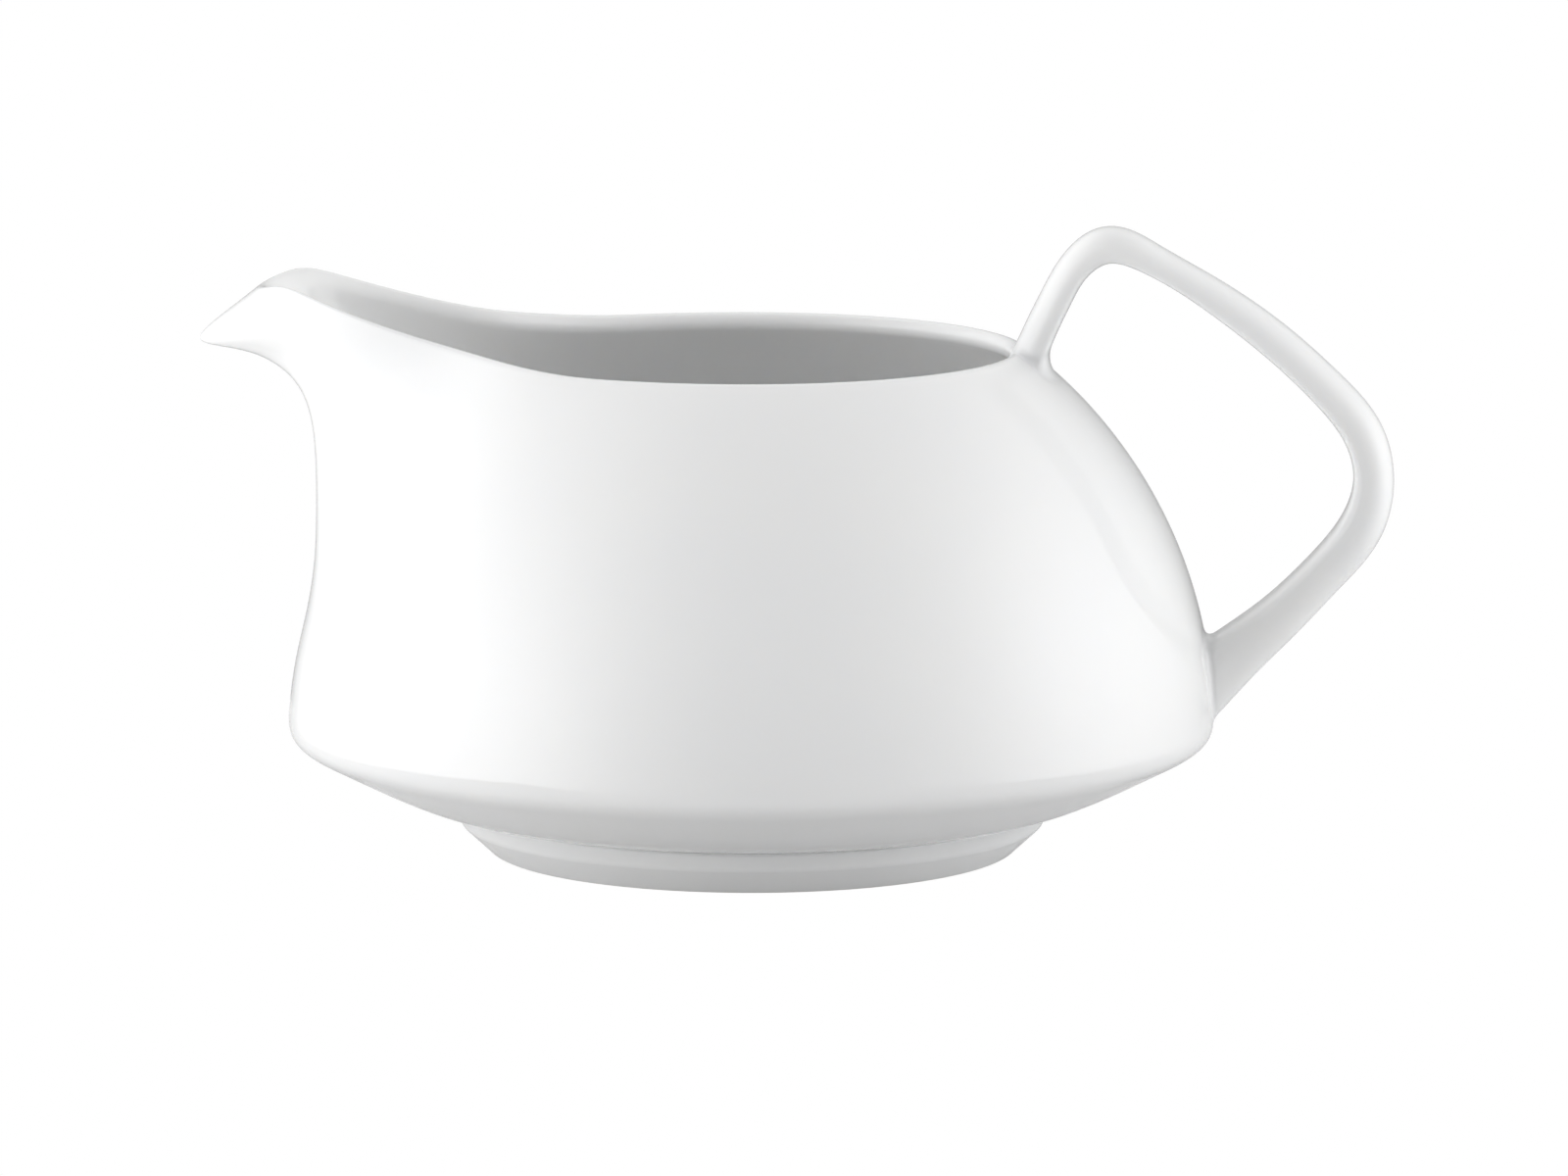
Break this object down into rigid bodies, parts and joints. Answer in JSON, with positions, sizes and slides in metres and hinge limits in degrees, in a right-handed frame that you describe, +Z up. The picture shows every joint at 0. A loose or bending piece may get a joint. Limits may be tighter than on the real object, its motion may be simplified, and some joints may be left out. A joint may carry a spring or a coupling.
{
  "type": "gravy boat",
  "caption": "White glazed porcelain gravy boat: domed bowl on a low foot ring, raised beaked pouring spout and an angular strap handle opposite.",
  "frame": {"origin": "centre of the foot ring, on the table plane", "axes": "+Z up, -X towards the spout's beak, +X towards the handle; the XZ plane is the plane of symmetry"},
  "size_m": [0.1704, 0.1324, 0.0897],
  "materials": {
    "glazed_porcelain": "clear gloss glaze on white hard porcelain",
    "foot_porcelain": "clear gloss glaze, left bare and matt where it stands on the table"
  },
  "bodies": {
    "root": {"bowl_shell": "glazed_porcelain", "foot_ring": "foot_porcelain", "handle": "glazed_porcelain", "upper_slip_fillet": "glazed_porcelain", "lower_slip_fillet": "glazed_porcelain"}
  },
  "joints": []
}
